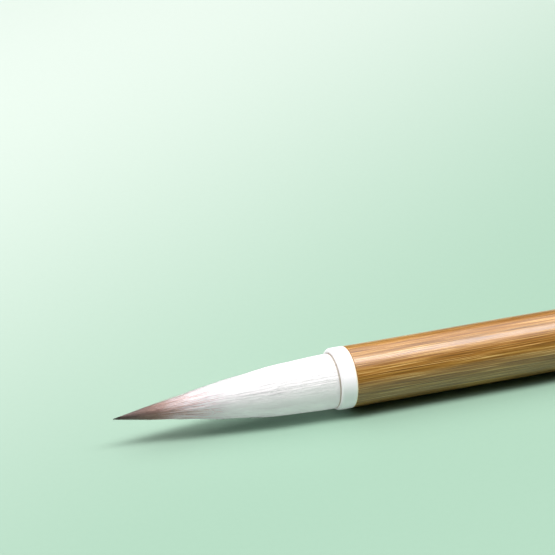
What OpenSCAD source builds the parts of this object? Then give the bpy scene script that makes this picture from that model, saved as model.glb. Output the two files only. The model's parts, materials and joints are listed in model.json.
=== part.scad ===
// Calligraphy brush lying along X on the plane z = 0.
// The tuft points towards -X, and the hanging loop towards +X.
// Lengths are in millimetres, and x = 0 is halfway from the tip of the tuft to the end of the knob.

/* [Shaft] */
// Length of the bamboo shaft
shaft_length = 182; // [150:1:240]
// Outer diameter of the bamboo
shaft_d = 12.2; // [11.6:0.1:12.4]
// How much narrower the bamboo is where it meets the ferrule
head_taper = 0.2; // [0:0.05:0.4]
// Length over which the bamboo narrows towards the ferrule
head_taper_length = 30; // [10:1:60]
// Diameter of the bamboo's natural hollow
hollow_d = 6.4; // [4:0.1:7.5]
// Thickness of the natural wall that closes the hollow
node_wall = 2.5; // [1:0.5:5]
// Place of that wall, as a share of the shaft's length
node_place = 0.6; // [0.3:0.05:0.8]

/* [Ferrule] */
// Length of the ring that shows
ring_length = 3.2; // [2:0.1:6]
// Length of the sleeve inside the bamboo
sleeve_length = 9; // [6:0.5:11]
// Wall of the sleeve
sleeve_wall = 0.45; // [0.3:0.05:0.6]
// Wall of the ring at its mouth
lip_wall = 0.6; // [0.5:0.05:0.8]
// Length of the flare inside the mouth
flare_length = 2.6; // [1.5:0.1:3]

/* [Tuft] */
// Length of hair that shows
tuft_length = 44; // [38:1:60]
// Distance from the ferrule to the centre of the bend
bend_place = 12; // [10:1:16]
// Furthest bend to either side, in degrees
bend_limit = 40; // [10:5:45]
// Length reached by the white cover hairs
cover_reach = 25; // [22:1:28]
// Length reached by the belly hairs under them
belly_reach = 35; // [31:1:36]
// Depth of the bound root inside the bamboo
root_depth = 13; // [12.5:0.5:14]

/* [Tail] */
// Length of the wooden collar
collar_length = 13; // [12.5:0.5:20]
// Diameter of the wooden collar
collar_d = 12.5; // [12.5:0.1:13.5]
// Length of the collar's tenon inside the bamboo
tenon_length = 12; // [6:1:20]
// Diameter of the knob
knob_d = 7.6; // [7:0.1:9]
// Height of the knob over the collar
knob_height = 2.9; // [2.5:0.1:3.5]
// Diameter of the cord
cord_d = 1.9; // [1.6:0.1:1.9]

/* [Label] */
// Length of the foil label along the shaft
label_length = 27.5; // [15:0.5:40]
// Bare bamboo between the label and the collar
label_gap = 3.5; // [1:0.5:10]
// How far the label reaches round the shaft, in degrees
label_wrap = 330; // [180:5:350]

/* [Hidden] */

fit = 0.03;          // gap left by a glued or pressed joint
bend_gap = 0.3;      // gap round the ball of the bend
label_t = 0.06;
round_fn = 96;

axis_z = collar_d / 2;
shaft_r = shaft_d / 2;
head_r = shaft_r - head_taper / 2;

// places along the brush
brush_length = tuft_length + ring_length + shaft_length + collar_length + knob_height;
tip_x = -brush_length / 2;
lip_x = tip_x + tuft_length;
shaft_front = lip_x + ring_length;
shaft_rear = shaft_front + shaft_length;
collar_end = shaft_rear + collar_length;
knob_end = collar_end + knob_height;

// head socket, ferrule and root
socket_r = head_r - 1.0;
socket_depth = root_depth + 2.5;
sleeve_r = socket_r - fit;
sleeve_bore_r = sleeve_r - sleeve_wall;
mouth_r = head_r - lip_wall;
root_r = sleeve_bore_r - fit;
thread_r = 0.25;
thread_turns = 3;
waist_r = root_r - 0.3;
waist_length = thread_turns * 2 * thread_r + 0.2;
waist_x = shaft_front + sleeve_length + 0.8;
resin_t = 1.2;

// tuft and its bend
tip_r = 0.08;
bend_x = lip_x - bend_place;
ball_r = hair_r(bend_place);
rim = bend_place - ball_r * sin(bend_limit) - bend_gap;

// tail
tenon_r = 4;
stem_r = 3;
stem_length = 6.5;
collar_bore_r = stem_r + fit;
collar_bore_depth = collar_length - 1;
cord_r = cord_d / 2;
strand_z = 1.1;
eye_r = strand_z + cord_r + 0.1;
knob_r = knob_d / 2;

// The loop leaves the knob at hinge_x. Its route is [distance past the hinge, height over the axis].
hinge_x = knob_end + 0.6;
route = [[0, 1.1], [1.9, 1.6], [3.8, 2], [5.7, 2.2], [7.6, 2.1], [9.4, 1.6], [11.1, 0.8],
         [12.6, -0.4], [13.5, -2], [13.3, -3.8], [12.1, -5], [10.4, -5.2], [8.7, -4.7],
         [7, -3.9], [5.3, -3], [3.6, -2.2], [1.9, -1.5], [0, -1.1]];
cord_sides = 8;
cap_angles = [75, 50, 25];   // rings that round off each end of the moving cord

// ---- outlines: every point is [place along X, radius] ----

// Radius of the tuft at a distance from the ferrule
function hair_r(s) = (mouth_r - 0.05 - tip_r) * pow(1 - pow(min(s / tuft_length, 1), 1.65), 1.06) + tip_r;

// Radii at which one layer of hair ends and the next begins
function cover_inner(s) = hair_r(s) * (0.8 + 0.17 * (s - bend_place) / (cover_reach - bend_place));
function belly_inner(s) = hair_r(s) * (0.4 + 0.5 * (s - bend_place) / (belly_reach - bend_place));

// Points from one distance to another along a list of radii
function steps(from, to, count) = [for (i = [0 : count]) from + (to - from) * i / count];

// Arc of the ball between two radii, on the side of the ferrule
function ball_arc(r, r1, r2, count) =
    [for (a = steps(asin(r1 / r), asin(r2 / r), count)) [bend_x + r * cos(a), r * sin(a)]];

// Quarter round between an end face at x and the side, its points running towards +X.
// way is 1 on an end that faces -X, and -1 on one that faces +X.
function edge_round(x, r, size, way) =
    [for (a = way > 0 ? [90 : -22.5 : 0] : [0 : 22.5 : 90])
        [x + way * size * (1 - sin(a)), r - size * (1 - cos(a))]];

module on_axis(x = 0) {
    translate([x, 0, axis_z]) rotate([0, 90, 0]) children();
}

// Solid turned about the axis of the brush
module turned(outline) {
    on_axis() rotate_extrude($fn = round_fn) polygon([for (p = outline) [p[1], p[0]]]);
}

module rod(x1, x2, r) {
    on_axis(x1) cylinder(h = x2 - x1, r = r, $fn = round_fn);
}

// ---- head ----

module bamboo_shaft() {
    wall_x = shaft_front + shaft_length * node_place;
    edge = 0.25;
    color("peru") difference() {
        turned(concat(
            [[shaft_front, 0]],
            edge_round(shaft_front, head_r, edge, 1),
            [[shaft_front + head_taper_length, shaft_r], [shaft_rear, shaft_r], [shaft_rear, 0]]));
        rod(shaft_front - 1, shaft_front + socket_depth, socket_r);
        rod(shaft_front + socket_depth - 1, wall_x, hollow_d / 2);
        rod(wall_x + node_wall, shaft_rear - tenon_length + 1, hollow_d / 2);
        rod(shaft_rear - tenon_length, shaft_rear + 1, tenon_r + fit);
    }
}

module ferrule() {
    color("white") turned(concat(
        [[lip_x, mouth_r]],
        edge_round(lip_x, head_r, lip_wall * 0.7, 1),
        [[shaft_front, head_r], [shaft_front, sleeve_r],
         [shaft_front + sleeve_length, sleeve_r], [shaft_front + sleeve_length, sleeve_bore_r],
         [lip_x + flare_length, sleeve_bore_r]]));
}

// Glued root of the tuft, from inside the bamboo to the socket of the bend
module root_bundle() {
    inner_end = shaft_front + root_depth;
    socket_ball = ball_r + bend_gap;
    rim_r = sqrt(pow(socket_ball, 2) - pow(bend_place - rim, 2));
    color("seashell") turned(concat(
        [[inner_end, 0], [inner_end, root_r],
         [waist_x + waist_length, root_r], [waist_x + waist_length, waist_r],
         [waist_x, waist_r], [waist_x, root_r],
         [lip_x + flare_length, root_r]],
        [for (s = steps(0, rim, 4)) [lip_x - s, hair_r(s)]],
        ball_arc(socket_ball, rim_r, 0, 8)));
}

module root_thread() {
    color("wheat") for (i = [0 : thread_turns - 1])
        on_axis(waist_x + 0.1 + thread_r * (2 * i + 1))
            rotate_extrude($fn = round_fn) translate([waist_r + thread_r + 0.01, 0])
                circle(r = thread_r - 0.01, $fn = 24);
}

module root_resin() {
    color("saddlebrown") rod(shaft_front + root_depth, shaft_front + root_depth + resin_t, root_r);
}

// ---- moving part of the tuft: three layers that share one ball ----

module cover_hair() {
    color("white") turned(concat(
        ball_arc(ball_r, cover_inner(bend_place), ball_r, 5),
        [for (s = steps(bend_place, cover_reach, 8)) [lip_x - s, hair_r(s)]],
        [for (s = steps(cover_reach, bend_place, 8)) [lip_x - s, cover_inner(s)]]));
}

module belly_hair() {
    color("mistyrose") turned(concat(
        ball_arc(ball_r, belly_inner(bend_place), cover_inner(bend_place) - fit, 6),
        [for (s = steps(bend_place, cover_reach, 8)) [lip_x - s, cover_inner(s) - fit]],
        [for (s = steps(cover_reach + 0.05, belly_reach, 6)) [lip_x - s, hair_r(s)]],
        [for (s = steps(belly_reach, bend_place, 12)) [lip_x - s, belly_inner(s)]]));
}

module tip_hair() {
    color("sienna") turned(concat(
        ball_arc(ball_r, 0, belly_inner(bend_place) - fit, 4),
        [for (s = steps(bend_place, belly_reach, 12)) [lip_x - s, belly_inner(s) - fit]],
        [for (s = steps(belly_reach + 0.05, tuft_length, 8)) [lip_x - s, hair_r(s)]],
        [[tip_x, 0]]));
}

// ---- tail ----

module tail_collar() {
    chamfer = [0.55, 0.3];   // along the axis and across it
    shoulder = 1.1;
    color("blanchedalmond") turned(concat(
        [[shaft_rear - tenon_length, 0], [shaft_rear - tenon_length, tenon_r],
         [shaft_rear, tenon_r], [shaft_rear, collar_d / 2 - chamfer[1]],
         [shaft_rear + chamfer[0], collar_d / 2]],
        edge_round(collar_end, collar_d / 2, shoulder, -1),
        [[collar_end, collar_bore_r], [collar_end - collar_bore_depth, collar_bore_r],
         [collar_end - collar_bore_depth, 0]]));
}

module tail_knob() {
    dome = [for (a = [0 : 15 : 90])
        [collar_end + 0.8 + (knob_height - 0.8) * sin(a), eye_r + (knob_r - eye_r) * cos(a)]];
    color("white") turned(concat(
        [[collar_end - stem_length, eye_r], [collar_end - stem_length, stem_r],
         [collar_end, stem_r], [collar_end, knob_r]],
        dome));
}

// Knot inside the collar, and the two strands that come out through the knob
module cord_knot() {
    knot_x = collar_end - stem_length - 2.2;
    lobe_r = 1.7;
    color("saddlebrown") {
        for (side = [-1, 1])
            translate([0, 0, side * strand_z]) rod(knot_x, hinge_x - cord_r - 0.05, cord_r);
        for (turn = [0 : 120 : 240])
            on_axis(knot_x) rotate([0, 0, turn]) translate([1, 0, 0]) sphere(r = lobe_r, $fn = 32);
    }
}

// Free loop of cord: rings of points along the route, with a rounded end where each strand turns
module hanging_loop() {
    last = len(route) - 1;
    middles = concat(
        [for (a = cap_angles) [route[0][0] - cord_r * sin(a), route[0][1]]],
        route,
        [for (i = [2 : -1 : 0]) [route[last][0] - cord_r * sin(cap_angles[i]), route[last][1]]]);
    radii = concat(
        [for (a = cap_angles) cord_r * cos(a)],
        [for (p = route) cord_r],
        [for (i = [2 : -1 : 0]) cord_r * cos(cap_angles[i])]);
    rings = len(middles);
    function heading(i) = let (a = middles[max(i - 1, 0)], b = middles[min(i + 1, rings - 1)])
        (b - a) / norm(b - a);
    points = [for (i = [0 : rings - 1], k = [0 : cord_sides - 1])
        let (d = heading(i), a = 360 * (k + 0.5) / cord_sides)
        [hinge_x + middles[i][0] - d[1] * radii[i] * cos(a),
         radii[i] * sin(a),
         axis_z + middles[i][1] + d[0] * radii[i] * cos(a)]];
    sides = [for (i = [0 : rings - 2], k = [0 : cord_sides - 1])
        let (a = i * cord_sides + k, b = i * cord_sides + (k + 1) % cord_sides)
        [a, a + cord_sides, b + cord_sides, b]];
    ends = [[for (k = [0 : cord_sides - 1]) k],
            [for (k = [cord_sides - 1 : -1 : 0]) (rings - 1) * cord_sides + k]];
    color("saddlebrown") polyhedron(points = points, faces = concat(sides, ends));
}

module foil_label() {
    label_start = shaft_rear - label_gap - label_length;
    color("gold") on_axis(label_start)
        rotate([0, 0, (360 - label_wrap) / 2])
            rotate_extrude(angle = label_wrap, $fn = round_fn)
                translate([shaft_r + 0.02, 0]) square([label_t, label_length]);
}

bamboo_shaft();
ferrule();
root_bundle();
root_thread();
root_resin();
cover_hair();
belly_hair();
tip_hair();
tail_collar();
tail_knob();
cord_knot();
hanging_loop();
foil_label();
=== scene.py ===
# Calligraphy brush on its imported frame.
# Lengths are in metres, +X runs from the tuft to the hanging loop, and +Z is up.
import json
import math
import bpy
import numpy as np
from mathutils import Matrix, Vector


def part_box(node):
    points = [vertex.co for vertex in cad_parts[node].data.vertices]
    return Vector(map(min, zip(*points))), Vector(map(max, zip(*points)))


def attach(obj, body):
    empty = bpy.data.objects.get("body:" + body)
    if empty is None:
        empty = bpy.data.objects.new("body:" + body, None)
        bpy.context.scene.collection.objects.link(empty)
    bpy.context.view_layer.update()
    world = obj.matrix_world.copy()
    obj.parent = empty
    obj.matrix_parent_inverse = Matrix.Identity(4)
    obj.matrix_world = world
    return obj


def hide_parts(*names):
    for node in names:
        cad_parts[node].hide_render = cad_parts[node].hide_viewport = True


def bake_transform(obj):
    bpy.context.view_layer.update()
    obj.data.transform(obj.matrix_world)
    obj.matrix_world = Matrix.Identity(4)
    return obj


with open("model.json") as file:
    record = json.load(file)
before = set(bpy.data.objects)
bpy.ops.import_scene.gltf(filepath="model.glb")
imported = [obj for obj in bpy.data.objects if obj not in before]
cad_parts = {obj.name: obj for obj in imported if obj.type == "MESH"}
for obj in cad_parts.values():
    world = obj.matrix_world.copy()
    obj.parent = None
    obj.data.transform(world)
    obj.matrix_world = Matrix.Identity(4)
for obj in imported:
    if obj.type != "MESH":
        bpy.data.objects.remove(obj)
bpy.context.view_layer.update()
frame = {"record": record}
mm = 0.001

# places along the brush, read from the frame
shaftLow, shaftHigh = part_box("bamboo_shaft")
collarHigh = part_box("tail_collar")[1]
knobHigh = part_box("tail_knob")[1]
labelLow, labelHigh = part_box("foil_label")
joints = {joint["name"]: joint for joint in frame["record"]["behaviour"]["joints"]}

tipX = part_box("tip_hair")[0].x
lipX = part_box("ferrule")[0].x
shaftFront = shaftLow.x
shaftRear = shaftHigh.x
collarEnd = collarHigh.x
knobEnd = knobHigh.x
hingeX = joints["loop_swing"]["pos_m"][0]
axisZ = joints["tuft_bend"]["pos_m"][2]
shaftR = shaftHigh.z - axisZ
tuftLength = lipX - tipX
print("frame read: brush", round((knobEnd - tipX) / mm, 1), "mm long without its loop")


view = {
    "lens": 180,
    "azimuth": -20.1,
    "elevation": 26.4,
    "distance": 0.53,
    "aimX": -0.0896,
    "aimLift": 0.0213,
}


def addCamera():
    azimuth = math.radians(view["azimuth"])
    elevation = math.radians(view["elevation"])
    back = Vector((math.sin(azimuth) * math.cos(elevation),
                   -math.cos(azimuth) * math.cos(elevation),
                   math.sin(elevation)))
    turn = back.to_track_quat("Z", "Y")
    up = turn @ Vector((0, 1, 0))
    aim = Vector((view["aimX"], 0, axisZ)) + up * view["aimLift"]
    bpy.ops.object.camera_add(location=aim + back * view["distance"], rotation=turn.to_euler())
    camera = bpy.context.object
    camera.name = "tableCamera"
    camera.data.lens = view["lens"]
    camera.data.clip_start = 0.01
    bpy.context.scene.camera = camera
    print("camera placed")


studio = {
    "floorSize": 40,
    "floorNear": (0.265, 0.415, 0.32),
    "floorFar": (0.53, 0.615, 0.56),
    "fadeWay": (-0.6, 1, 0),        # the paper is painted lighter this way, a painted pool of light, between these two distances
    "fadeFrom": 0.02,
    "fadeTo": 0.26,
    "skyMiddle": (0, 0.2, 0.98),    # the soft light overhead lies a little behind the brush
    "skyFrom": 0.6,                 # cosine off its middle where it starts, and where it is full
    "skyTo": 0.85,
    "skyStrength": 1.95,
    "skyTint": (1, 0.98, 0.975),
    "lowLight": 0.02,
    "horizon": (0.56, 0.65, 0.59),
    "softboxPlace": (-0.04, -0.08, 0.75),
    "softboxAim": (-0.04, 0, 0),
    "softboxSize": (1.8, 0.26),
    "softboxPower": 9,
}


# soft light comes from high overhead only; the camera sees a plain pale room
def paleRoom():
    world = bpy.data.worlds.new("paleRoom")
    world.use_nodes = True
    tree = world.node_tree
    nearness = addNode(tree, "ShaderNodeVectorMath", {0: objectPlace(tree), 1: studio["skyMiddle"]},
                       operation="DOT_PRODUCT")
    overhead = softStep(tree, nearness.outputs["Value"], studio["skyFrom"], studio["skyTo"])
    strength = mathNode(tree, "MULTIPLY_ADD", overhead, studio["skyStrength"], studio["lowLight"])
    sky = tree.nodes["Background"]
    sky.inputs["Color"].default_value = (*studio["skyTint"], 1)
    tree.links.new(strength, sky.inputs["Strength"])
    wall = addNode(tree, "ShaderNodeBackground", {"Color": (*studio["horizon"], 1)})
    seen = addNode(tree, "ShaderNodeLightPath").outputs["Is Camera Ray"]
    both = addNode(tree, "ShaderNodeMixShader", {0: seen, 1: sky.outputs[0], 2: wall.outputs[0]})
    tree.links.new(both.outputs[0], tree.nodes["World Output"].inputs["Surface"])
    return world


def floorPaper():
    material, tree, surface = newMaterial("mintPaper", Roughness=0.75, Specular_IOR_Level=0.25)
    tooth = addNode(tree, "ShaderNodeTexNoise", {"Vector": objectPlace(tree), "Scale": 900, "Detail": 3})
    # painted light: the paper turns lighter towards the back and left
    away = addNode(tree, "ShaderNodeVectorMath", {0: objectPlace(tree), 1: studio["fadeWay"]},
                   operation="DOT_PRODUCT")
    tone = mixColour(tree, softStep(tree, away.outputs["Value"], studio["fadeFrom"], studio["fadeTo"]),
                     studio["floorNear"], studio["floorFar"])
    speck = mixColour(tree, tooth.outputs["Fac"], (0.97, 0.97, 0.97), (1, 1, 1))
    tree.links.new(mixColour(tree, 1, tone, speck, "MULTIPLY"), surface.inputs["Base Color"])
    tree.links.new(bumpNode(tree, tooth.outputs["Fac"], 0.04, 0.1 * mm), surface.inputs["Normal"])
    return material


def addSoftbox():
    bpy.ops.object.light_add(type="AREA", location=studio["softboxPlace"])
    light = bpy.context.object
    light.name = "keySoftbox"
    light.data.shape = "RECTANGLE"
    light.data.size, light.data.size_y = studio["softboxSize"]
    light.data.energy = studio["softboxPower"]
    light.data.color = studio["skyTint"]
    towards = Vector(studio["softboxAim"]) - Vector(studio["softboxPlace"])
    light.rotation_euler = towards.to_track_quat("-Z", "Y").to_euler()


def addStudio():
    bpy.context.scene.world = paleRoom()
    bpy.context.scene.view_settings.view_transform = "Standard"
    bpy.ops.mesh.primitive_plane_add(size=studio["floorSize"], location=(0, 0, -0.05 * mm))
    floor = bpy.context.object
    floor.name = "paleFloor"
    floor.data.materials.append(floorPaper())
    addSoftbox()
    print("floor and light placed")


def addNode(tree, kind, values=None, **settings):
    node = tree.nodes.new(kind)
    for key, value in settings.items():
        setattr(node, key, value)
    for key, value in (values or {}).items():
        if isinstance(value, bpy.types.NodeSocket):
            tree.links.new(value, node.inputs[key])
        else:
            node.inputs[key].default_value = value
    return node


def mathNode(tree, operation, *values):
    node = addNode(tree, "ShaderNodeMath", dict(enumerate(values)), operation=operation)
    return node.outputs[0]


# how far a value is from a fixed one
def offValue(tree, value, fixed):
    return mathNode(tree, "ABSOLUTE", mathNode(tree, "SUBTRACT", value, fixed))


def rampNode(tree, factor, stops):
    node = addNode(tree, "ShaderNodeValToRGB", {"Fac": factor})
    elements = node.color_ramp.elements
    while len(elements) < len(stops):
        elements.new(0.5)
    for element, (place, colour) in zip(elements, stops):
        element.position = place
        element.color = (*colour, 1)
    return node.outputs["Color"]


def softStep(tree, value, low, high):
    node = addNode(tree, "ShaderNodeMapRange", {"Value": value, "From Min": low, "From Max": high},
                   interpolation_type="SMOOTHSTEP")
    return node.outputs["Result"]


def mixColour(tree, factor, first, second, blend="MIX"):
    node = addNode(tree, "ShaderNodeMix", {"Factor": factor}, data_type="RGBA", blend_type=blend)
    for socket, colour in ((node.inputs[6], first), (node.inputs[7], second)):
        if isinstance(colour, bpy.types.NodeSocket):
            tree.links.new(colour, socket)
        else:
            socket.default_value = (*colour, 1)
    return node.outputs[2]


def newMaterial(name, **surfaceValues):
    material = bpy.data.materials.new(name)
    material.use_nodes = True
    tree = material.node_tree
    surface = tree.nodes["Principled BSDF"]
    for key, value in surfaceValues.items():
        surface.inputs[key.replace("_", " ")].default_value = value
    return material, tree, surface


def objectPlace(tree):
    return addNode(tree, "ShaderNodeTexCoord").outputs["Object"]


def bumpNode(tree, height, strength, distance, normal=None):
    values = {"Height": height, "Strength": strength, "Distance": distance}
    if normal is not None:
        values["Normal"] = normal
    return addNode(tree, "ShaderNodeBump", values).outputs["Normal"]


def newGroup(name, inputs, outputs):
    group = bpy.data.node_groups.new(name, "ShaderNodeTree")
    for title, kind in inputs:
        group.interface.new_socket(title, in_out="INPUT", socket_type=kind)
    for title in outputs:
        group.interface.new_socket(title, in_out="OUTPUT", socket_type="NodeSocketFloat")
    return group, addNode(group, "NodeGroupInput"), addNode(group, "NodeGroupOutput")


def useGroup(tree, group, values):
    return addNode(tree, "ShaderNodeGroup", values, node_tree=group).outputs


# fibres that run along X: fine ones, and broad bands of them
def makeFibreGroup():
    group, given, put = newGroup(
        "longFibres",
        [("Vector", "NodeSocketVector"), ("Across", "NodeSocketFloat"), ("Along", "NodeSocketFloat")],
        ["Fine", "Broad"])
    for title, share, detail in (("Fine", 1.0, 4), ("Broad", 0.22, 2)):
        across = mathNode(group, "MULTIPLY", given.outputs["Across"], share)
        stretch = addNode(group, "ShaderNodeCombineXYZ",
                          {"X": given.outputs["Along"], "Y": across, "Z": across})
        place = addNode(group, "ShaderNodeVectorMath",
                        {0: given.outputs["Vector"], 1: stretch.outputs[0]}, operation="MULTIPLY")
        noise = addNode(group, "ShaderNodeTexNoise",
                        {"Vector": place.outputs[0], "Scale": 1, "Detail": detail, "Roughness": 0.6})
        group.links.new(noise.outputs["Fac"], put.inputs[title])
    return group


# faint marks of handling: soft cloudy patches and short hairline scuffs
def makeScuffGroup():
    group, given, put = newGroup(
        "handlingScuffs",
        [("Vector", "NodeSocketVector"), ("Scale", "NodeSocketFloat")],
        ["Cloud", "Scuff"])
    cloud = addNode(group, "ShaderNodeTexNoise",
                    {"Vector": given.outputs["Vector"], "Scale": given.outputs["Scale"], "Detail": 3})
    group.links.new(cloud.outputs["Fac"], put.inputs["Cloud"])
    finer = mathNode(group, "MULTIPLY", given.outputs["Scale"], 5)
    scratch = addNode(group, "ShaderNodeTexNoise",
                      {"Vector": given.outputs["Vector"], "Scale": finer, "Detail": 5, "Distortion": 2.5})
    thin = softStep(group, offValue(group, scratch.outputs["Fac"], 0.5), 0.012, 0.0)
    group.links.new(thin, put.inputs["Scuff"])
    return group


longFibres = makeFibreGroup()
handlingScuffs = makeScuffGroup()


bambooLook = {
    "fibres": {"Across": 8200, "Along": 70},
    "fibreColours": [(0.34, (0.11, 0.045, 0.008)), (0.45, (0.32, 0.145, 0.022)),
                     (0.55, (0.47, 0.235, 0.043)), (0.66, (0.86, 0.57, 0.22))],
    "veins": {"Across": 4400, "Along": 9},
    "veinColours": [(0.36, (0.42, 0.35, 0.28)), (0.46, (0.95, 0.93, 0.9)),
                    (0.6, (1, 1, 1)), (0.7, (1.0, 0.80, 0.58))],
    "veinShare": 0.6,
    "shadedBand": (0.92, 0.84, 0.78),
    "roughness": (0.28, 0.5),
}


def lacqueredBamboo():
    material, tree, surface = newMaterial("lacqueredBamboo", Roughness=0.4, Coat_Weight=1.0,
                                          Coat_Roughness=0.15, Specular_IOR_Level=0.4)
    place = objectPlace(tree)
    hair = useGroup(tree, longFibres, {"Vector": place, **bambooLook["fibres"]})
    vein = useGroup(tree, longFibres, {"Vector": place, **bambooLook["veins"]})
    base = rampNode(tree, hair["Fine"], bambooLook["fibreColours"])
    bands = rampNode(tree, vein["Fine"], bambooLook["veinColours"])
    streaked = mixColour(tree, bambooLook["veinShare"], base, bands, "MULTIPLY")
    warm = mixColour(tree, softStep(tree, vein["Broad"], 0.35, 0.65), bambooLook["shadedBand"], (1, 1, 1))
    tree.links.new(mixColour(tree, 1, streaked, warm, "MULTIPLY"), surface.inputs["Base Color"])
    smooth, rubbed = bambooLook["roughness"]
    rough = addNode(tree, "ShaderNodeMapRange", {"Value": hair["Fine"], "To Min": smooth, "To Max": rubbed})
    tree.links.new(rough.outputs["Result"], surface.inputs["Roughness"])
    fine = bumpNode(tree, hair["Fine"], 0.45, 0.05 * mm)
    tree.links.new(bumpNode(tree, vein["Fine"], 0.25, 0.08 * mm, fine), surface.inputs["Normal"])
    return material


# white plastic of the ring and the knob, a little cream near its edge at creamX
def whitePlastic(name, creamX, creamWidth):
    material, tree, surface = newMaterial(name, Roughness=0.24, Specular_IOR_Level=0.5,
                                          Subsurface_Weight=0.15, Subsurface_Scale=0.5 * mm,
                                          Subsurface_Radius=(1, 0.95, 0.95), Emission_Strength=0.12)
    place = objectPlace(tree)
    scuffs = useGroup(tree, handlingScuffs, {"Vector": place, "Scale": 260})
    along = addNode(tree, "ShaderNodeSeparateXYZ", {0: place}).outputs["X"]
    cream = softStep(tree, offValue(tree, along, creamX), creamWidth, 0.3 * creamWidth)
    body = mixColour(tree, scuffs["Cloud"], (0.935, 0.89, 0.945), (0.97, 0.93, 0.965))
    tone = mixColour(tree, cream, body, (0.93, 0.87, 0.70))
    tree.links.new(tone, surface.inputs["Base Color"])
    # painted glow: the plastic emits a little of its own colour, so its shade isn't dark
    tree.links.new(tone, surface.inputs["Emission Color"])
    rough = mathNode(tree, "MULTIPLY_ADD", scuffs["Scuff"], 0.18, 0.22)
    tree.links.new(rough, surface.inputs["Roughness"])
    tree.links.new(bumpNode(tree, scuffs["Cloud"], 0.06, 0.1 * mm), surface.inputs["Normal"])
    return material


hairLook = {
    "fibres": {"Across": 9, "Along": 0.04},
    "colours": [(0.0, (0.94, 0.925, 0.935)), (0.50, (0.93, 0.905, 0.93)), (0.60, (0.86, 0.76, 0.79)),
                (0.68, (0.67, 0.48, 0.45)), (0.78, (0.46, 0.30, 0.25)), (0.88, (0.32, 0.21, 0.18)),
                (0.98, (0.16, 0.12, 0.11))],    # by share of the tuft's length
    "unevenness": 12,                   # millimetres over which the brown starts
    "streak": (0.45, 0.41, 0.42),
    "whiteStreaks": 0.2,
    "brownStreaks": 0.62,               # on top of the white hair's
    "mouthShade": (0.42, 0.36, 0.28),
    "silkiness": 0.82,
    "tilt": (-0.15, 0, 0),
}


# Hair of the tuft. The hairPlace attribute holds millimetres from the ferrule, and strandShift
# how many millimetres earlier a hair turns brown.
def tuftHair():
    material, tree, surface = newMaterial("tuftHair", Roughness=0.5, Specular_IOR_Level=0.2,
                                          Sheen_Weight=0.2, Sheen_Roughness=0.4,
                                          Emission_Strength=0.24)
    place = addNode(tree, "ShaderNodeAttribute", attribute_name="hairPlace").outputs["Vector"]
    shift = addNode(tree, "ShaderNodeAttribute", attribute_name="strandShift").outputs["Fac"]
    fibres = useGroup(tree, longFibres, {"Vector": place, **hairLook["fibres"]})
    split = addNode(tree, "ShaderNodeSeparateXYZ", {0: place})
    along = split.outputs["X"]
    spread = hairLook["unevenness"]
    uneven = mathNode(tree, "MULTIPLY_ADD", fibres["Fine"], spread, -spread / 2)
    reach = mathNode(tree, "ADD", mathNode(tree, "ADD", along, shift), uneven)
    share = mathNode(tree, "DIVIDE", reach, tuftLength / mm)
    colour = rampNode(tree, share, hairLook["colours"])
    streak = mixColour(tree, softStep(tree, fibres["Fine"], 0.35, 0.62), hairLook["streak"], (1, 1, 1))
    inBrown = softStep(tree, share, 0.45, 0.8)
    strength = mathNode(tree, "MULTIPLY_ADD", inBrown, hairLook["brownStreaks"], hairLook["whiteStreaks"])
    streaked = mixColour(tree, strength, colour, streak, "MULTIPLY")
    # shade in the narrow gap at the ferrule's mouth
    atMouth = softStep(tree, along, 0.42, 0.1)
    tone = mixColour(tree, mathNode(tree, "MULTIPLY", atMouth, 0.85), streaked, hairLook["mouthShade"])
    tree.links.new(tone, surface.inputs["Base Color"])
    # painted glow: the hair emits a little of its own colour, so its shade isn't dark
    tree.links.new(tone, surface.inputs["Emission Color"])
    # hairs are lit mostly as the whole tuft's surface is, which keeps them silky
    across = addNode(tree, "ShaderNodeCombineXYZ", {"Y": split.outputs["Y"], "Z": split.outputs["Z"]})
    outwards = addNode(tree, "ShaderNodeVectorMath", {0: across.outputs[0]}, operation="NORMALIZE")
    tilted = addNode(tree, "ShaderNodeVectorMath", {0: outwards.outputs[0], 1: hairLook["tilt"]})
    own = addNode(tree, "ShaderNodeNewGeometry").outputs["Normal"]
    silky = addNode(tree, "ShaderNodeMix",
                    {"Factor": hairLook["silkiness"], 4: own, 5: tilted.outputs[0]}, data_type="VECTOR")
    facingOut = addNode(tree, "ShaderNodeVectorMath", {0: silky.outputs[1]}, operation="NORMALIZE")
    tree.links.new(bumpNode(tree, fibres["Fine"], 0.06, 0.05 * mm, facingOut.outputs[0]),
                   surface.inputs["Normal"])
    return material


def turnedWood():
    material, tree, surface = newMaterial("turnedPaleWood", Roughness=0.55, Specular_IOR_Level=0.35,
                                          Subsurface_Weight=0.05, Subsurface_Scale=0.4 * mm)
    place = objectPlace(tree)
    grain = useGroup(tree, longFibres, {"Vector": place, "Across": 5600, "Along": 420})
    tone = rampNode(tree, grain["Broad"], [
        (0.35, (0.90, 0.82, 0.70)), (0.5, (0.93, 0.87, 0.78)), (0.65, (0.95, 0.90, 0.83))])
    fleck = softStep(tree, grain["Fine"], 0.57, 0.68)
    flecked = mixColour(tree, mathNode(tree, "MULTIPLY", fleck, 0.45), tone, (0.72, 0.57, 0.37))
    along = addNode(tree, "ShaderNodeSeparateXYZ", {0: place}).outputs["X"]
    # the edge next to the bamboo is stained
    atBamboo = softStep(tree, along, shaftRear + 0.62 * mm, shaftRear + 0.5 * mm)
    tree.links.new(mixColour(tree, mathNode(tree, "MULTIPLY", atBamboo, 0.7), flecked, (0.90, 0.74, 0.36)),
                   surface.inputs["Base Color"])
    rings = addNode(tree, "ShaderNodeTexWave", {"Vector": place, "Scale": 620, "Distortion": 1.2},
                    bands_direction="X")
    fine = bumpNode(tree, grain["Fine"], 0.25, 0.06 * mm)
    tree.links.new(bumpNode(tree, rings.outputs["Fac"], 0.08, 0.03 * mm, fine), surface.inputs["Normal"])
    return material


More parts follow.
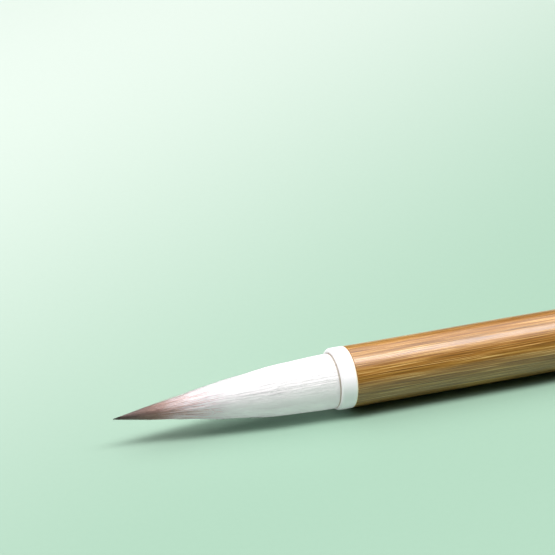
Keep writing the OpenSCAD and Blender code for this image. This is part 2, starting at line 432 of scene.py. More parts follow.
# cord wound with fine yarn; the cordPlace attribute holds turns of the winding and the way round the cord
def woundCord():
    material, tree, surface = newMaterial("woundCord", Roughness=0.45, Specular_IOR_Level=0.5,
                                          Sheen_Weight=0.2, Sheen_Roughness=0.35,
                                          Sheen_Tint=(0.9, 0.62, 0.55, 1))
    place = addNode(tree, "ShaderNodeAttribute", attribute_name="cordPlace").outputs["Vector"]
    turns = addNode(tree, "ShaderNodeSeparateXYZ", {0: place}).outputs["X"]
    inTurn = mathNode(tree, "PINGPONG", turns, 0.5)
    # painted shade: the grooves between turns of the winding are darkened almost to black
    paintedGrooveShade = softStep(tree, inTurn, 0.0, 0.3)
    yarn = addNode(tree, "ShaderNodeTexNoise", {"Vector": place, "Scale": 2.3, "Detail": 3})
    lit = mixColour(tree, yarn.outputs["Fac"], (0.045, 0.021, 0.017), (0.12, 0.062, 0.052))
    tree.links.new(mixColour(tree, paintedGrooveShade, (0.008, 0.004, 0.003), lit), surface.inputs["Base Color"])
    tree.links.new(bumpNode(tree, yarn.outputs["Fac"], 0.4, 0.04 * mm), surface.inputs["Normal"])
    return material


foilPrint = {       # sizes in millimetres
    "oval": (10.4, 8.4),
    "ovalLine": (0.036, 0.024),         # outer and inner edge, as a share of the oval
    "bandHalf": 4.2,
    "bandDiamond": (2.3, 1.45),         # half its length along the brush, and half round it
    "bandStep": 1.9,
    "bandLine": 3.45,
    "studRow": 6.9,
    "studDiamond": (1.3, 0.8),
    "studStep": 1.3,
    "studReach": 4.0,
    "rim": 0.45,
    "red": (0.50, 0.03, 0.02),
    "bare": [(0.74, 0.64, 0.30), (0.80, 0.76, 0.46)],
    "rimColour": (0.95, 0.92, 0.74),
}


# how far off the middle of the nearest diamond in a row, where 1 is the diamond's edge
def offDiamond(tree, along, around, size, step):
    beside = mathNode(tree, "DIVIDE", mathNode(tree, "PINGPONG", around, step), size[1])
    return mathNode(tree, "ADD", mathNode(tree, "DIVIDE", along, size[0]), beside)


# Foil of the label. The labelPlace attribute holds millimetres along the brush from the label's middle,
# round the shaft from the facing line, and in from the cut edge.
def embossedFoil():
    material, tree, surface = newMaterial("embossedFoil", Roughness=0.3, Metallic=0.8,
                                          Coat_Weight=0.5, Coat_Roughness=0.12)
    place = addNode(tree, "ShaderNodeAttribute", attribute_name="labelPlace").outputs["Vector"]
    along, around, inwards = addNode(tree, "ShaderNodeSeparateXYZ", {0: place}).outputs
    absAlong = mathNode(tree, "ABSOLUTE", along)
    # an oval ring
    squares = [mathNode(tree, "POWER", mathNode(tree, "DIVIDE", way, half), 2)
               for way, half in zip((along, around), foilPrint["oval"])]
    oval = mathNode(tree, "SQRT", mathNode(tree, "ADD", *squares))
    ovalRing = softStep(tree, offValue(tree, oval, 1), *foilPrint["ovalLine"])
    # a red band round the middle, with a row of pale diamonds between two pale lines
    band = softStep(tree, absAlong, foilPrint["bandHalf"] + 0.05, foilPrint["bandHalf"] - 0.05)
    diamond = offDiamond(tree, absAlong, around, foilPrint["bandDiamond"], foilPrint["bandStep"])
    line = softStep(tree, offValue(tree, absAlong, foilPrint["bandLine"]), 0.16, 0.1)
    pale = mathNode(tree, "MAXIMUM", softStep(tree, diamond, 1.0, 0.9), line)
    redBand = mathNode(tree, "MULTIPLY", band, mathNode(tree, "SUBTRACT", 1, pale))
    # a row of small red diamonds on each side of it
    stud = offDiamond(tree, offValue(tree, absAlong, foilPrint["studRow"]), around,
                      foilPrint["studDiamond"], foilPrint["studStep"])
    inner = softStep(tree, mathNode(tree, "ABSOLUTE", around), foilPrint["studReach"],
                     foilPrint["studReach"] - 0.1)
    studs = mathNode(tree, "MULTIPLY", softStep(tree, stud, 1.0, 0.85), inner)
    red = mathNode(tree, "MAXIMUM", mathNode(tree, "MAXIMUM", ovalRing, studs), redBand)
    rim = softStep(tree, inwards, foilPrint["rim"] + 0.05, foilPrint["rim"] - 0.05)
    crumple = useGroup(tree, handlingScuffs, {"Vector": place, "Scale": 0.35})
    foil = mixColour(tree, softStep(tree, crumple["Cloud"], 0.35, 0.65), *foilPrint["bare"])
    printed = mixColour(tree, red, foil, foilPrint["red"])
    tree.links.new(mixColour(tree, rim, printed, foilPrint["rimColour"]), surface.inputs["Base Color"])
    bare = mathNode(tree, "MULTIPLY_ADD", mathNode(tree, "MAXIMUM", red, rim), -0.6, 0.68)
    tree.links.new(bare, surface.inputs["Metallic"])
    rough = mathNode(tree, "MULTIPLY_ADD", crumple["Cloud"], 0.2, 0.24)
    tree.links.new(rough, surface.inputs["Roughness"])
    weave = addNode(tree, "ShaderNodeTexVoronoi", {"Vector": place, "Scale": 3.2})
    stipple = bumpNode(tree, weave.outputs["Distance"], 0.08, 0.02 * mm)
    tree.links.new(bumpNode(tree, crumple["Cloud"], 0.25, 0.1 * mm, stipple), surface.inputs["Normal"])
    return material


# thin paint on the bamboo: the fibres show through it
def brushedPaint(name, colour):
    material, tree, surface = newMaterial(name, Roughness=0.45, Specular_IOR_Level=0.45)
    fibres = useGroup(tree, longFibres, {"Vector": objectPlace(tree), "Across": 3400, "Along": 60})
    thin = tuple(0.72 * value for value in colour)
    tone = mixColour(tree, softStep(tree, fibres["Fine"], 0.36, 0.5), thin, colour)
    tree.links.new(tone, surface.inputs["Base Color"])
    tree.links.new(bumpNode(tree, fibres["Fine"], 0.3, 0.04 * mm), surface.inputs["Normal"])
    return material


def hempThread():
    material, tree, surface = newMaterial("hempThread", Roughness=0.8)
    twist = addNode(tree, "ShaderNodeTexWave",
                    {"Vector": objectPlace(tree), "Scale": 1500, "Distortion": 3},
                    bands_direction="DIAGONAL")
    tone = mixColour(tree, twist.outputs["Fac"], (0.45, 0.36, 0.2), (0.72, 0.62, 0.42))
    tree.links.new(tone, surface.inputs["Base Color"])
    tree.links.new(bumpNode(tree, twist.outputs["Fac"], 0.5, 0.05 * mm), surface.inputs["Normal"])
    return material


def darkResin():
    material, tree, surface = newMaterial("darkResin", Roughness=0.15)
    scuffs = useGroup(tree, handlingScuffs, {"Vector": objectPlace(tree), "Scale": 420})
    tone = mixColour(tree, scuffs["Cloud"], (0.11, 0.05, 0.02), (0.3, 0.15, 0.05))
    tree.links.new(tone, surface.inputs["Base Color"])
    tree.links.new(bumpNode(tree, scuffs["Cloud"], 0.2, 0.1 * mm), surface.inputs["Normal"])
    return material


# A turned piece: a ring is extruded and resized from point to point of its outline. A point is a place,
# a radius, and how far the ring sits below the axis, if it does. A solid piece is capped at both ends;
# on a hollow one the last ring joins the first.
def turnPiece(name, outline, sides, material, solid=False):
    rings = [(*point, 0)[:3] for point in outline]
    place, radius, drop = rings[0]
    bpy.ops.object.select_all(action="DESELECT")
    bpy.ops.mesh.primitive_circle_add(vertices=sides, radius=radius,
                                      fill_type="NGON" if solid else "NOTHING",
                                      location=(place, 0, axisZ - drop), rotation=(0, math.pi / 2, 0))
    piece = bpy.context.object
    piece.name = name
    bpy.ops.object.transform_apply(location=True, rotation=True, scale=True)
    bpy.ops.object.mode_set(mode="EDIT")
    bpy.ops.mesh.select_all(action="SELECT")
    for nextPlace, nextRadius, nextDrop in rings[1:]:
        bpy.ops.mesh.extrude_region_move(
            TRANSFORM_OT_translate={"value": (nextPlace - place, 0, drop - nextDrop)})
        grow = nextRadius / radius
        bpy.ops.transform.resize(value=(1, grow, grow), center_override=(nextPlace, 0, axisZ - nextDrop))
        place, radius, drop = nextPlace, nextRadius, nextDrop
    bpy.ops.mesh.select_all(action="SELECT")
    bpy.ops.mesh.remove_doubles(threshold=0.001 * mm)
    bpy.ops.mesh.normals_make_consistent(inside=False)
    bpy.ops.object.mode_set(mode="OBJECT")
    bpy.ops.object.shade_smooth_by_angle(angle=math.radians(40))
    piece.data.materials.append(material)
    return piece


# points of a rounded corner between an end face and a side; way is 1 where the face looks to -X,
# and -1 where it looks to +X
def roundCorner(place, radius, size, way, count=5):
    angles = np.linspace(0, math.pi / 2, count)[::-way]
    return [(place + way * size * (1 - math.sin(a)), radius - size * (1 - math.cos(a))) for a in angles]


def meshPiece(name, points, faces, material):
    mesh = bpy.data.meshes.new(name)
    mesh.from_pydata(points.tolist(), [], faces.tolist())
    mesh.update()
    mesh.shade_smooth()
    piece = bpy.data.objects.new(name, mesh)
    bpy.context.collection.objects.link(piece)
    mesh.materials.append(material)
    return piece


def selectOnly(piece):
    bpy.ops.object.select_all(action="DESELECT")
    piece.select_set(True)
    bpy.context.view_layer.objects.active = piece


def addVectors(piece, title, vectors):
    attribute = piece.data.attributes.new(title, "FLOAT_VECTOR", "POINT")
    attribute.data.foreach_set("vector", np.asarray(vectors, np.float32).ravel())


def addNumbers(piece, title, numbers):
    attribute = piece.data.attributes.new(title, "FLOAT", "POINT")
    attribute.data.foreach_set("value", np.asarray(numbers, np.float32).ravel())


# faces between neighbouring rows of points; a wrapped grid closes on itself across its columns
def gridFaces(rows, columns, wrapped):
    across = columns if wrapped else columns - 1
    row, column = np.meshgrid(np.arange(rows - 1), np.arange(across), indexing="ij")
    here = (row * columns + column).ravel()
    beside = (row * columns + (column + 1) % columns).ravel()
    return np.stack([here, beside, beside + columns, here + columns], axis=1)


facing = math.radians(42)    # the line that the label and the painted marks are centred on


# points over the shaft, from places along the brush and millimetres round it from the facing line
def onShaft(along, aroundMm, radius):
    angle = facing + np.asarray(aroundMm) * mm / shaftR
    return np.stack([along, -radius * np.cos(angle), axisZ + radius * np.sin(angle)], axis=-1)


loopCord = {
    "diameter": 1.9 * mm,
    "stub": 2.6 * mm,
    "stubRadius": 1.0 * mm,
    "stubTaper": 0.6 * mm,
    "windPitch": 0.44 * mm,
    "windDepth": 0.1 * mm,
    "ringsPerTurn": 6,
    "sides": 20,
    "blendReach": 1.6 * mm,
}

# the loop's route, as (distance past the hinge, height over the axis) in millimetres
loopRoute = [
    (0, 1.1), (1.9, 1.6), (3.8, 2.0), (5.7, 2.2), (7.6, 2.1), (9.4, 1.6), (11.1, 0.8), (12.6, -0.4),
    (13.5, -2.0), (13.3, -3.8), (12.1, -5.0), (10.4, -5.2), (8.7, -4.7), (7.0, -3.9), (5.3, -3.0),
    (3.6, -2.2), (1.9, -1.5), (0, -1.1)]


# a smooth line through the points (Catmull-Rom), at even steps, and how far along it each step is
def smoothLine(points, step):
    points = np.asarray(points, float)
    padded = np.vstack([2 * points[0] - points[1], points, 2 * points[-1] - points[-2]])
    t = np.linspace(0, 1, 24, endpoint=False)[:, None]
    pieces = []
    for a, b, c, d in zip(padded, padded[1:], padded[2:], padded[3:]):
        pieces.append(0.5 * (2 * b + (c - a) * t + (2 * a - 5 * b + 4 * c - d) * t**2
                             + (3 * b - a - 3 * c + d) * t**3))
    line = np.vstack(pieces + [points[-1:]])
    length = np.concatenate([[0], np.cumsum(np.linalg.norm(np.diff(line, axis=0), axis=1))])
    even = np.linspace(0, length[-1], int(length[-1] / step) + 1)
    return np.stack([np.interp(even, length, line[:, i]) for i in range(line.shape[1])], axis=1), even


def buildLoop(material):
    # the two ends run straight on into the knob's eye
    into = -loopCord["stub"] / mm
    top, bottom = loopRoute[0][1], loopRoute[-1][1]
    route = [(into, top), (0.5 * into, top), *loopRoute, (0.5 * into, bottom), (into, bottom)]
    flat, run = smoothLine(np.array(route) * mm, loopCord["windPitch"] / loopCord["ringsPerTurn"])
    middle = np.stack([hingeX + flat[:, 0], np.zeros(len(flat)), axisZ + flat[:, 1]], axis=1)
    heading = np.gradient(middle, axis=0)
    heading /= np.linalg.norm(heading, axis=1)[:, None]
    side = np.array([0.0, 1.0, 0.0])
    lift = np.cross(heading, side)
    sides = loopCord["sides"]
    angle = np.linspace(0, 2 * math.pi, sides, endpoint=False)
    turns = run[:, None] / loopCord["windPitch"] + angle[None, :] / (2 * math.pi)
    inside = np.clip(-flat[:, 0] / loopCord["stubTaper"], 0, 1)[:, None]
    full = loopCord["diameter"] / 2 * (1 - inside) + loopCord["stubRadius"] * inside
    radius = full - loopCord["windDepth"] * (0.5 - 0.5 * np.cos(2 * math.pi * turns)) * (1 - 0.6 * inside)
    points = (middle[:, None, :]
              + radius[..., None] * (np.cos(angle)[None, :, None] * lift[:, None, :]
                                     + np.sin(angle)[None, :, None] * side))
    rows = len(middle)
    piece = meshPiece("loopCord", points.reshape(-1, 3), gridFaces(rows, sides, True), material)
    spot = np.stack([turns - 0.5, np.broadcast_to(np.cos(angle), turns.shape),
                     np.broadcast_to(np.sin(angle), turns.shape)], axis=-1)
    addVectors(piece, "cordPlace", spot)
    closeEnds(piece)
    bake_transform(piece)
    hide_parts("hanging_loop")
    print("cord loop:", round(run[-1] / mm, 1), "mm of cord")


# close the open ends of tubes, and turn all the faces outwards
def closeEnds(piece):
    selectOnly(piece)
    bpy.ops.object.mode_set(mode="EDIT")
    bpy.ops.mesh.select_mode(type="EDGE")
    bpy.ops.mesh.select_all(action="DESELECT")
    bpy.ops.mesh.select_non_manifold()
    bpy.ops.mesh.edge_face_add()
    bpy.ops.mesh.select_all(action="SELECT")
    bpy.ops.mesh.normals_make_consistent(inside=False)
    bpy.ops.object.mode_set(mode="OBJECT")


bamboo = {
    "sides": 128,
    "frontEdge": 0.25 * mm,
    "rearEdge": 0.12 * mm,
    "rearR": shaftR - 0.02 * mm,
    "taperLength": 30 * mm,     # the shaft narrows to headR over this length
    "headR": shaftR - 0.1 * mm,
    "socketR": shaftR - 1.1 * mm,
    "socketDepth": 15.5 * mm,
    "hollowR": 3.2 * mm,
    "tenonR": 4.03 * mm,
    "tenonLength": 12 * mm,
    "ringSpacing": 6 * mm,
    "unevenness": 0.02 * mm,    # a grown stem isn't quite round or straight
}


def buildShaft(material):
    headR = bamboo["headR"]
    outline = [(shaftFront, bamboo["socketR"])]
    outline += roundCorner(shaftFront, headR, bamboo["frontEdge"], 1)
    count = int((shaftRear - shaftFront) / bamboo["ringSpacing"])
    for i in range(1, count):
        place = shaftFront + i * bamboo["ringSpacing"]
        narrow = (shaftR - headR) * max(0, 1 - (place - shaftFront) / bamboo["taperLength"])
        sway = bamboo["unevenness"] * (math.sin(0.9 * i) + 0.6 * math.sin(2.3 * i + 1))
        outline.append((place, shaftR - narrow - abs(sway), 0.5 * sway))
    outline += roundCorner(shaftRear, bamboo["rearR"], bamboo["rearEdge"], -1)
    # back through the bore: the tenon's socket, the hollow stem and the ferrule's socket
    rearSocket = shaftRear - bamboo["tenonLength"]
    frontSocket = shaftFront + bamboo["socketDepth"]
    outline += [
        (shaftRear, bamboo["tenonR"]), (rearSocket, bamboo["tenonR"]), (rearSocket, bamboo["hollowR"]),
        (frontSocket, bamboo["hollowR"]), (frontSocket, bamboo["socketR"]), (shaftFront, bamboo["socketR"])]
    piece = turnPiece("brushShaft", outline, bamboo["sides"], material)
    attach(piece, "handle")
    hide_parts("bamboo_shaft")
    print("shaft turned")


ring = {
    "sides": 128,
    "mouthR": 5.4 * mm,
    "mouthDepth": 0.9 * mm,
    "mouthDrop": 0.27 * mm,     # the mouth sits a little low in the ring
    "lipRound": 0.55 * mm,
    "innerRound": 0.1 * mm,
    "rearRound": 0.14 * mm,
    "crown": 0.05 * mm,
    "sleeveR": 4.97 * mm,
    "boreR": 4.52 * mm,
    "sleeveLength": 9 * mm,
    "flareLength": 2.6 * mm,
}


def buildFerrule(material):
    outerR, mouthR, inner, bulge = bamboo["headR"], ring["mouthR"], ring["innerRound"], ring["crown"]
    sleeveEnd = shaftFront + ring["sleeveLength"]
    bore = [(sleeveEnd, ring["boreR"]), (lipX + ring["flareLength"], ring["boreR"])]
    mouth = [(lipX + inwards, mouthR + wider, ring["mouthDrop"]) for inwards, wider in (
        (ring["mouthDepth"], 0), (inner, 0), (0.3 * inner, 0.3 * inner), (0, inner))]
    lip = roundCorner(lipX, outerR, ring["lipRound"], 1, 8)
    middle = (lipX + shaftFront) / 2
    crown = [(middle - 0.5 * mm, outerR + 0.8 * bulge), (middle + 0.3 * mm, outerR + bulge),
             (shaftFront - 0.5 * mm, outerR + 0.6 * bulge)]
    rear = roundCorner(shaftFront, outerR + 0.3 * bulge, ring["rearRound"], -1)
    sleeve = [(shaftFront, ring["sleeveR"]), (sleeveEnd, ring["sleeveR"])]
    outline = bore + mouth + lip + crown + rear + sleeve + bore[:1]
    piece = turnPiece("ferruleRing", outline, ring["sides"], material)
    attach(piece, "handle")
    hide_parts("ferrule")
    print("ferrule turned")


tuft = {
    "rootR": 5.36 * mm,         # leaves a hairline gap at the ferrule's mouth
    "tipR": 0.07 * mm,
    "fullness": 1.65,
    "pointing": 1.06,
    # place, spread and change of the outline: the belly, and where the cover hairs have ended
    "swells": [(0.28, 0.08, 0.03), (0.70, 0.09, -0.09)],
    "sag": 0.3 * mm,            # the hair lies a little lower than the shaft's axis
    "sagLength": 9 * mm,
    "bodyShare": 0.972,         # the body under the hairs, as a share of the tuft's radius
    "bodyReach": 0.97,
    "bodyRings": 30,
    "bodySides": 72,
    "bodyShift": 3.0,
    "inside": 1.6 * mm,
    "blendReach": 11.4 * mm,
}


# the tuft's radius, and how far its middle sags, at distances from the ferrule's lip
def tuftRadius(s):
    share = np.clip(np.asarray(s) / tuftLength, 0, 1)
    taper = (1 - share ** tuft["fullness"]) ** tuft["pointing"]
    for place, spread, change in tuft["swells"]:
        taper = taper * (1 + change * np.exp(-((share - place) / spread) ** 2))
    return (tuft["rootR"] - tuft["tipR"]) * taper + tuft["tipR"]


def tuftSag(s):
    settle = np.clip(np.asarray(s) / tuft["sagLength"], 0, 1)
    return ring["mouthDrop"] + (tuft["sag"] - ring["mouthDrop"]) * settle * settle * (3 - 2 * settle)


def bendWithTuft(piece):
    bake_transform(piece)


def buildTuftBody(material):
    places = [-tuft["inside"], *np.linspace(0, tuft["bodyReach"] * tuftLength, tuft["bodyRings"])]
    outline = [(lipX - s, float(tuft["bodyShare"] * tuftRadius(s)), float(tuftSag(s))) for s in places]
    piece = turnPiece("tuftBody", outline, tuft["bodySides"], material, solid=True)
    points = np.array([v.co for v in piece.data.vertices])
    addVectors(piece, "hairPlace", restPlaces(points))
    addNumbers(piece, "strandShift", np.full(len(points), tuft["bodyShift"]))
    bendWithTuft(piece)
    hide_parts("root_bundle")
    print("tuft body turned")


# millimetres from the ferrule along the tuft, and across it from the axis
def restPlaces(points):
    return np.stack([lipX - points[:, 0], points[:, 1], points[:, 2] - axisZ], axis=1) / mm


# A layer of single hairs. Each starts inside the ferrule, or further along, follows the tuft's outline
# at its own depth, gathers into a lock with its neighbours, and tapers to its own end.
def buildHairs(name, node, layer, material):
    rng = np.random.default_rng(layer["seed"])
    count, segments = layer["count"], layer["segments"]
    start = rng.uniform(*layer["start"], count) * mm
    lowEnd, highEnd = layer["end"]
    end = (lowEnd + (highEnd - lowEnd) * rng.uniform(0, 1, count) ** layer["endBias"]) * mm
    angle = rng.uniform(0, 2 * math.pi, count)
    locks = layer["locks"]
    nearestLock = np.round(angle / (2 * math.pi) * locks) + rng.uniform(-0.3, 0.3, count)
    lockAngle = nearestLock * 2 * math.pi / locks
    depth = 1 - layer["depth"] * rng.uniform(0, 1, count) ** 1.5
    t = np.linspace(0, 1, segments + 1)[None, :]
    s = start[:, None] + (end - start)[:, None] * t
    gather = layer["gather"] * np.clip(s / tuftLength, 0, 1) ** 1.5
    wave = rng.uniform(0.2, 1, count)[:, None] * layer["wander"] * mm
    phase = rng.uniform(0, 2 * math.pi, (count, 1))
    radius = tuftRadius(s) * depth[:, None]
    around = angle[:, None] + gather * (lockAngle - angle)[:, None]
    around = around + wave * np.sin(s / (9 * mm) + phase) / np.maximum(radius, 1 * mm)
    stray = (rng.uniform(0, 1, count) < layer["strays"])[:, None] * t ** 4 * layer["strayLift"] * mm
    thick = layer["thickness"] * mm * rng.uniform(0.75, 1.15, count)[:, None]
    thick = thick * (1 - 0.8 * t ** 3) * np.clip(0.35 + 0.65 * radius / (2 * mm), 0.35, 1)
    radius = np.maximum(radius + stray - thick, 0)
    # a hair is three-sided, with one edge turned in
    corner = np.array([math.pi, math.pi / 3, -math.pi / 3])
    out = np.stack([np.zeros_like(around), np.cos(around), np.sin(around)], axis=-1)
    side = np.stack([np.zeros_like(around), -np.sin(around), np.cos(around)], axis=-1)
    middle = np.stack([lipX - s, np.zeros_like(s), axisZ - tuftSag(s)], axis=-1) + radius[..., None] * out
    section = (np.cos(corner)[None, None, :, None] * out[:, :, None, :]
               + np.sin(corner)[None, None, :, None] * side[:, :, None, :])
    points = (middle[:, :, None, :] + thick[:, :, None, None] * section).reshape(-1, 3)
    pointsPerHair = (segments + 1) * len(corner)
    oneHair = gridFaces(segments + 1, len(corner), True)
    faces = (oneHair[None] + (np.arange(count) * pointsPerHair)[:, None, None]).reshape(-1, 4)
    piece = meshPiece(name, points, faces, material)
    addVectors(piece, "hairPlace", restPlaces(points))
    shift = layer["shift"] + rng.normal(0, layer["shiftSpread"], count)
    addNumbers(piece, "strandShift", np.repeat(shift, pointsPerHair))
    closeEnds(piece)
    bendWithTuft(piece)
    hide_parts(node)
    print(name, "laid:", count, "hairs")


# lengths in millimetres; depth, gather and strays are shares
coverHairs = {
    "seed": 11, "count": 3900, "segments": 8, "start": (-1.5, -1.0), "end": (16, 36), "endBias": 0.9,
    "depth": 0.03, "locks": 150, "gather": 0.3, "wander": 0.05, "thickness": 0.07,
    "strays": 0.015, "strayLift": 0.25, "shift": -3.5, "shiftSpread": 3.2,
}
bellyHairs = {
    "seed": 23, "count": 2300, "segments": 8, "start": (8, 12), "end": (26, 40), "endBias": 0.9,
    "depth": 0.16, "locks": 60, "gather": 0.6, "wander": 0.12, "thickness": 0.07,
    "strays": 0.01, "strayLift": 0.2, "shift": 0.5, "shiftSpread": 2.6,
}
tipHairs = {
    "seed": 37, "count": 1300, "segments": 8, "start": (18, 22), "end": (36, 44), "endBias": 0.7,
    "depth": 0.3, "locks": 40, "gather": 0.6, "wander": 0.1, "thickness": 0.06,
    "strays": 0.0, "strayLift": 0.0, "shift": 2.5, "shiftSpread": 2.0,
}


collar = {
    "sides": 128,
    "chamfer": (0.55 * mm, 0.3 * mm),       # along the brush, and off the radius
    "sideEnd": 3.4 * mm,                    # the straight side stops this far from the rear face
    "shoulder": 1.1 * mm,
    "tenonR": 4.0 * mm,
    "tenonLength": 12 * mm,
    "tenonEdge": 0.15 * mm,
    "boreR": 3.03 * mm,
    "boreDepth": 12 * mm,
    "boreEdge": 0.1 * mm,
}


def buildCollar(material):
    outerR = collarHigh.z - axisZ
    chamferX, chamferR = collar["chamfer"]
    tenonR, tenonEdge = collar["tenonR"], collar["tenonEdge"]
    boreR, boreEdge = collar["boreR"], collar["boreEdge"]
    tenonEnd = shaftRear - collar["tenonLength"]
    sideEnd = collarEnd - collar["sideEnd"]
    outline = [
        (tenonEnd, tenonR - tenonEdge), (tenonEnd + tenonEdge, tenonR),
        (shaftRear, tenonR), (shaftRear, outerR - chamferR),
        (shaftRear + 0.9 * chamferX, outerR - 0.08 * chamferR), (shaftRear + 1.1 * chamferX, outerR),
        (sideEnd - 3 * mm, outerR), (sideEnd, outerR - 0.01 * mm)]
    outline += roundCorner(collarEnd, outerR, collar["shoulder"], -1, 9)
    outline += [(collarEnd, boreR + boreEdge), (collarEnd - boreEdge, boreR),
                (collarEnd - collar["boreDepth"], boreR)]
    piece = turnPiece("collarTurned", outline, collar["sides"], material, solid=True)
    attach(piece, "handle")
    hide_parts("tail_collar")
    print("collar turned")


knob = {
    "sides": 96,
    "eyeR": 2.15 * mm,
    "stemR": 3.0 * mm,
    "stemLength": 6.5 * mm,
    "rim": 0.35 * mm,
    "skirt": 0.8 * mm,          # the straight side, before the dome starts
    "dome": 0.85,               # less than 1 is fuller than a round dome
}


def buildKnob(material):
    outerR = knobHigh.z - axisZ
    eyeR, rim = knob["eyeR"], knob["rim"]
    stemEnd = collarEnd - knob["stemLength"]
    skirtX = collarEnd + knob["skirt"]
    domeLength, domeR = knobEnd - skirtX, outerR - eyeR - rim
    dome = [(skirtX + domeLength * math.sin(a), eyeR + rim + domeR * math.cos(a) ** knob["dome"])
            for a in np.radians([0, 15, 30, 45, 58, 70, 80])]
    rimArc = [(knobEnd - rim * (1 - math.sin(a)), eyeR + rim * (1 - math.cos(a)))
              for a in np.radians([90, 65, 40, 15, 0])]
    outline = [(stemEnd, eyeR), (stemEnd, knob["stemR"]), (collarEnd, knob["stemR"]),
               (collarEnd, outerR - 0.25 * mm), (collarEnd + 0.08 * mm, outerR - 0.08 * mm),
               (collarEnd + 0.25 * mm, outerR)]
    outline += dome + rimArc + [(stemEnd, eyeR)]
    piece = turnPiece("knobTurned", outline, knob["sides"], material)
    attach(piece, "handle")
    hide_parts("tail_knob")
    print("knob turned")


label = {
    "wrap": 330,                # degrees round the shaft
    "columns": 331,
    "edgeRows": (0, 0.12, 0.25, 0.45, 0.7, 1.0),
    "middleRows": 22,
    "scallops": 9,
    "scallopDepth": 1.35 * mm,
    "lift": 0.035 * mm,
    "thickness": 0.03 * mm,
    "waveFade": 0.3,            # share of the label's length over which the edge's waves fade out
    "creaseDepth": 0.05 * mm,
    "creases": (-2.1, -1.4),    # millimetres round from the facing line
    "creaseWidth": 0.16,
}


def buildLabel(material):
    radius = shaftR + label["lift"]
    half = math.radians(label["wrap"] / 2) * shaftR / mm
    around = np.linspace(-half, half, label["columns"])
    length = labelHigh.x - labelLow.x
    wave = np.abs(np.sin(math.pi * label["scallops"] * (around / (2 * half) + 0.5)))
    cut = label["scallopDepth"] * (1 - wave ** 0.7)
    edge = np.array(label["edgeRows"]) * mm
    fromLeft = np.concatenate([edge, np.linspace(edge[-1], length - edge[-1], label["middleRows"])[1:-1],
                               length - edge[::-1]])
    fromEdge = np.minimum(fromLeft, length - fromLeft)
    fade = 1 - np.clip(fromEdge / (label["waveFade"] * length), 0, 1)
    way = np.where(fromLeft < length / 2, 1, -1)
    along = labelLow.x + fromLeft[:, None] + (way * fade)[:, None] * cut[None, :]
    sideIn = (half - np.abs(around)) * mm
    inwards = np.minimum(fromEdge[:, None], sideIn[None, :])
    crease = sum(np.exp(-((around - place) / label["creaseWidth"]) ** 2) for place in label["creases"])
    height = np.broadcast_to(radius + label["creaseDepth"] * crease, along.shape)
    spread = np.broadcast_to(around, along.shape)
    points = onShaft(along, spread, height)
    piece = meshPiece("labelFoil", points.reshape(-1, 3), gridFaces(*along.shape, False), material)
    centre = (labelLow.x + labelHigh.x) / 2
    addVectors(piece, "labelPlace", np.stack([(along - centre) / mm, spread, inwards / mm], axis=-1))
    thicken(piece, label["thickness"])
    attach(piece, "handle")
    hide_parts("foil_label")
    print("label wrapped")


# give a thin sheet that lies on the shaft its thickness, outwards
def thicken(piece, thickness):
    selectOnly(piece)
    face = piece.data.polygons[0]
    fromAxis = face.center - Vector((face.center.x, 0, axisZ))
    if face.normal @ fromAxis < 0:
        bpy.ops.object.mode_set(mode="EDIT")
        bpy.ops.mesh.select_all(action="SELECT")
        bpy.ops.mesh.flip_normals()
        bpy.ops.object.mode_set(mode="OBJECT")
    solid = piece.modifiers.new("thickness", "SOLIDIFY")
    solid.thickness = thickness
    solid.offset = 1
    bpy.ops.object.modifier_apply(modifier=solid.name)


# A sprig is a stem and its leaves, each given as (place along, place round, direction in degrees,
# length, width), in millimetres from the sprig's centre.
greenSprig = [(1.0, -3.6, 95, 7.6, 0.5), (0.8, -1.2, 30, 3.6, 1.3), (0.7, 0.2, 150, 3.4, 1.2),
              (0.6, 1.4, 40, 3.0, 1.1), (0.5, 2.4, 120, 2.6, 1.0)]
whiteSprig = [(-0.6, -3.8, 82, 7.8, 0.6), (-0.4, -1.8, 25, 3.8, 1.5), (-0.3, -0.6, 165, 3.6, 1.4),
              (0.0, 0.8, 50, 3.6, 1.3), (0.1, 1.6, 135, 3.2, 1.2)]
# each sprig stands at its place along the brush
paintedMarks = {
    "leafMarkGreen": {"colour": (0.16, 0.36, 0.12), "sprigs": [(0.0715, greenSprig)]},
    "leafMarkWhite": {"colour": (0.86, 0.85, 0.82), "sprigs": [(0.052, whiteSprig), (0.0315, greenSprig)]},
}
leaf = {
    "rows": 15,
    "columns": 5,
    "lift": 0.004 * mm,
    "paintThickness": 0.016 * mm,
}


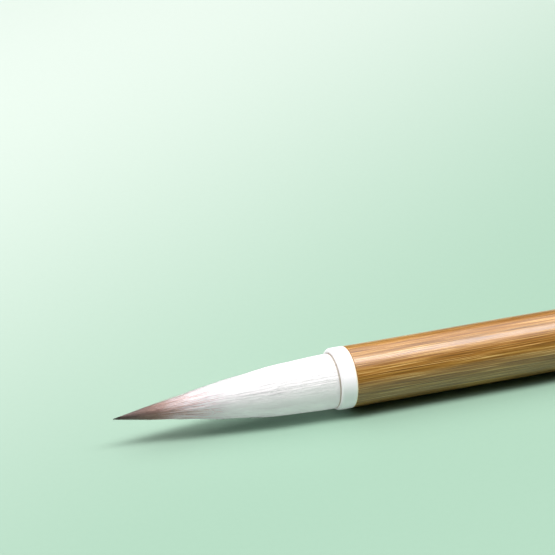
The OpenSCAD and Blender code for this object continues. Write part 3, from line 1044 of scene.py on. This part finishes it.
def buildMark(name, mark):
    material = brushedPaint(name + "Paint", mark["colour"])
    rows, columns = leaf["rows"], leaf["columns"]
    allPoints, allFaces = [], []
    t = np.linspace(0, 1, rows)[:, None]
    across = np.linspace(-1, 1, columns)[None, :]
    for centreX, sprig in mark["sprigs"]:
        for startX, startRound, direction, length, width in sprig:
            # a leaf is widest before its middle, and bows a little
            turn = math.radians(direction)
            halfWidth = 0.5 * width * np.sin(math.pi * (0.04 + 0.93 * t)) ** 0.9 * (1.15 - 0.5 * t)
            bow = 0.12 * length * t * (1 - t)
            forward = t * length + 0 * across
            sideways = halfWidth * across + bow
            x = centreX + (startX + forward * math.cos(turn) - sideways * math.sin(turn)) * mm
            around = startRound + forward * math.sin(turn) + sideways * math.cos(turn)
            allFaces.append(gridFaces(rows, columns, False) + len(allPoints) * rows * columns)
            allPoints.append(onShaft(x, around, shaftR + leaf["lift"]).reshape(-1, 3))
    piece = meshPiece(name, np.vstack(allPoints), np.vstack(allFaces), material)
    thicken(piece, leaf["paintThickness"])
    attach(piece, "handle")
    print(name, "painted")


# the camera and the cord come first
addCamera()
addStudio()
cordMaterial = woundCord()
hairMaterial = tuftHair()
buildLoop(cordMaterial)
buildShaft(lacqueredBamboo())
buildFerrule(whitePlastic("ringPlastic", shaftFront, 0.35 * mm))
buildTuftBody(hairMaterial)
buildHairs("tuftCoverHairs", "cover_hair", coverHairs, hairMaterial)
buildHairs("tuftBellyHairs", "belly_hair", bellyHairs, hairMaterial)
buildHairs("tuftTipHairs", "tip_hair", tipHairs, hairMaterial)
buildCollar(turnedWood())
buildKnob(whitePlastic("knobPlastic", collarEnd, 0.2 * mm))
buildLabel(embossedFoil())
for markName, markFacts in paintedMarks.items():
    buildMark(markName, markFacts)

# hidden nodes keep their shapes and take their materials
for nodeName, nodeMaterial in (("root_thread", hempThread()), ("root_resin", darkResin()),
                               ("cord_knot", cordMaterial)):
    node = bpy.data.objects[nodeName]
    node.data.materials.clear()
    node.data.materials.append(nodeMaterial)

print("brush finished")
